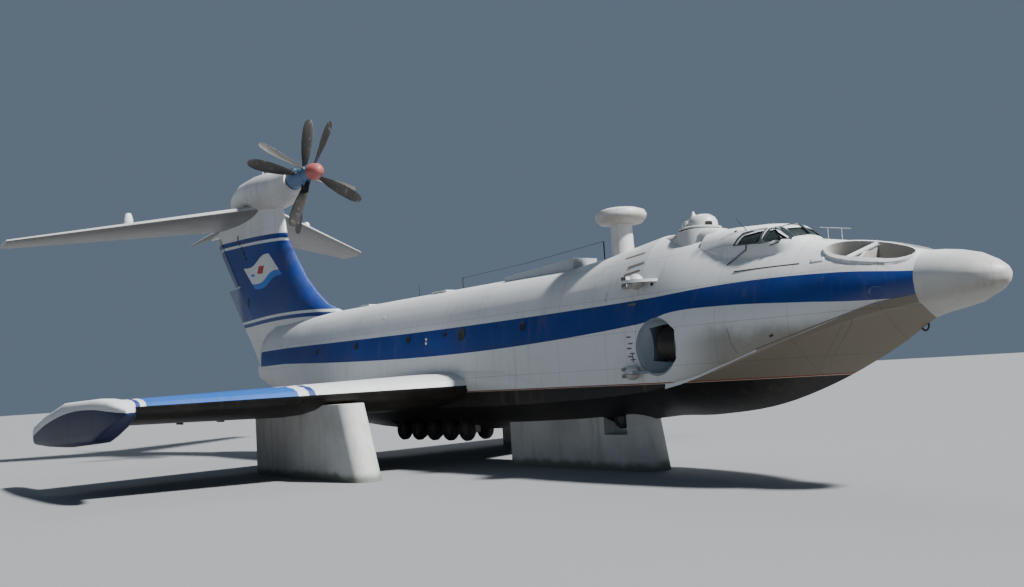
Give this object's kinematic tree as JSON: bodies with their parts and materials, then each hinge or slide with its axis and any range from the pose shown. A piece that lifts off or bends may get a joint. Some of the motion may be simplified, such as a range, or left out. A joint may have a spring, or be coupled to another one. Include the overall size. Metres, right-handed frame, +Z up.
{
  "type": "ground-effect vehicle, scale model 1:2",
  "caption": "Winged hull that flies just above water, with swing-open bow, tip floats, tall fin and tail propellers, on concrete pylons",
  "frame": {"origin": "centre of the bounding box on the ground, level with the feet of the three pylons", "axes": "+X to the bow, +Y to port, +Z up"},
  "size_m": [29.05, 15.75, 9.7109],
  "materials": {
    "white_paint": "satin, weathered",
    "grey_paint": "satin, weathered",
    "blue_paint": "satin",
    "navy_paint": "satin",
    "dark_metal": "dark, sooty",
    "steel": "dull",
    "tyre": "matte",
    "glazing": "clear",
    "concrete": "cast concrete, weathered"
  },
  "bodies": {
    "structure": {"hull_aft": "white_paint", "hinge_lower": "grey_paint", "hinge_upper": "grey_paint", "radar_mast": "white_paint", "radar_disc": "white_paint", "roof_panel": "grey_paint", "wing_port": "white_paint", "wing_starboard": "white_paint", "float_port": "navy_paint", "float_starboard": "navy_paint", "fin": "blue_paint", "tailplane": "grey_paint", "nacelle": "white_paint", "tail_engine": "dark_metal", "gear_beam": "steel", "pylon_bow": "concrete", "pylon_port": "concrete", "pylon_starboard": "concrete"},
    "bow": {"hull_bow": "white_paint", "radome": "white_paint", "window_rear_port": "glazing", "window_rear_starboard": "glazing", "window_side_port": "glazing", "window_side_starboard": "glazing", "windscreen_port": "glazing", "windscreen_starboard": "glazing", "booster_port": "dark_metal", "booster_starboard": "dark_metal", "turret_base": "white_paint"},
    "turret": {"turret": "white_paint"},
    "flap_inner_port": {"flap_inner_port": "grey_paint"},
    "flap_inner_starboard": {"flap_inner_starboard": "grey_paint"},
    "flap_outer_port": {"flap_outer_port": "grey_paint"},
    "flap_outer_starboard": {"flap_outer_starboard": "grey_paint"},
    "elevator_port": {"elevator_port": "grey_paint"},
    "elevator_starboard": {"elevator_starboard": "grey_paint"},
    "rudder_lower": {"rudder_lower": "grey_paint"},
    "rudder_upper": {"rudder_upper": "grey_paint"},
    "propeller_front": {"propeller_front": "dark_metal"},
    "propeller_rear": {"propeller_rear": "dark_metal"},
    "main_wheels_1": {"main_wheels_1": "tyre"},
    "main_wheels_2": {"main_wheels_2": "tyre"},
    "main_wheels_3": {"main_wheels_3": "tyre"},
    "main_wheels_4": {"main_wheels_4": "tyre"},
    "main_wheels_5": {"main_wheels_5": "tyre"},
    "nose_leg": {"nose_leg": "steel"},
    "nose_wheels": {"nose_wheels": "tyre"}
  },
  "joints": [
    {"name": "nose_swing", "type": "hinge", "parent": "structure", "child": "bow", "pos_m": [8.6, -1.16, 2.55], "axis": [0, 0, -1], "range_deg": [0, 92]},
    {"name": "turret_yaw", "type": "hinge", "parent": "bow", "child": "turret", "pos_m": [9.325, 0, 4.155], "axis": [0, 0, 1], "range_deg": [-180, 180]},
    {"name": "flap_inner_starboard_hinge", "type": "hinge", "parent": "structure", "child": "flap_inner_starboard", "pos_m": [-1.0765, -1.15, 1.43], "axis": [-0.0575, -0.9983, 0], "range_deg": [-5, 35]},
    {"name": "flap_inner_port_hinge", "type": "hinge", "parent": "structure", "child": "flap_inner_port", "pos_m": [-1.0765, 1.15, 1.43], "axis": [0.0575, -0.9983, 0], "range_deg": [-5, 35]},
    {"name": "flap_outer_starboard_hinge", "type": "hinge", "parent": "structure", "child": "flap_outer_starboard", "pos_m": [-1.2505, -4.175, 1.43], "axis": [-0.0575, -0.9983, 0], "range_deg": [-20, 20]},
    {"name": "flap_outer_port_hinge", "type": "hinge", "parent": "structure", "child": "flap_outer_port", "pos_m": [-1.2505, 4.175, 1.43], "axis": [0.0575, -0.9983, 0], "range_deg": [-20, 20]},
    {"name": "elevator_starboard_hinge", "type": "hinge", "parent": "structure", "child": "elevator_starboard", "pos_m": [-10.7345, -0.65, 7.307], "axis": [-0.5132, -0.8565, -0.0551], "range_deg": [-25, 25]},
    {"name": "elevator_port_hinge", "type": "hinge", "parent": "structure", "child": "elevator_port", "pos_m": [-10.7345, 0.65, 7.307], "axis": [0.5132, -0.8565, 0.0551], "range_deg": [-25, 25]},
    {"name": "rudder_lower_hinge", "type": "hinge", "parent": "structure", "child": "rudder_lower", "pos_m": [-8.125, 0, 3.2], "axis": [-0.6611, 0, 0.7503], "range_deg": [-25, 25]},
    {"name": "rudder_upper_hinge", "type": "hinge", "parent": "structure", "child": "rudder_upper", "pos_m": [-8.125, 0, 3.2], "axis": [-0.6611, 0, 0.7503], "range_deg": [-7, 43]},
    {"name": "propeller_front_spin", "type": "hinge", "parent": "structure", "child": "propeller_front", "pos_m": [-4.875, 0, 8], "axis": [1, 0, 0], "continuous": true},
    {"name": "propeller_rear_spin", "type": "hinge", "parent": "structure", "child": "propeller_rear", "pos_m": [-5.375, 0, 8], "axis": [1, 0, 0], "continuous": true},
    {"name": "main_wheels_1_roll", "type": "hinge", "parent": "structure", "child": "main_wheels_1", "pos_m": [2.425, 0, 0.71], "axis": [0, 1, 0], "continuous": true},
    {"name": "main_wheels_2_roll", "type": "hinge", "parent": "structure", "child": "main_wheels_2", "pos_m": [1.775, 0, 0.71], "axis": [0, 1, 0], "continuous": true},
    {"name": "main_wheels_3_roll", "type": "hinge", "parent": "structure", "child": "main_wheels_3", "pos_m": [1.125, 0, 0.71], "axis": [0, 1, 0], "continuous": true},
    {"name": "main_wheels_4_roll", "type": "hinge", "parent": "structure", "child": "main_wheels_4", "pos_m": [0.475, 0, 0.71], "axis": [0, 1, 0], "continuous": true},
    {"name": "main_wheels_5_roll", "type": "hinge", "parent": "structure", "child": "main_wheels_5", "pos_m": [-0.175, 0, 0.71], "axis": [0, 1, 0], "continuous": true},
    {"name": "nose_steering", "type": "hinge", "parent": "structure", "child": "nose_leg", "pos_m": [7.225, 0, 0.93], "axis": [0, 0, 1], "range_deg": [-30, 30]},
    {"name": "nose_wheels_roll", "type": "hinge", "parent": "nose_leg", "child": "nose_wheels", "pos_m": [7.225, 0, 0.93], "axis": [0, 1, 0], "continuous": true}
  ],
  "couplings": [
    {"joint": "flap_inner_port_hinge", "follows": "flap_inner_starboard_hinge", "ratio": 1},
    {"joint": "flap_outer_port_hinge", "follows": "flap_outer_starboard_hinge", "ratio": -1},
    {"joint": "elevator_port_hinge", "follows": "elevator_starboard_hinge", "ratio": 1}
  ]
}
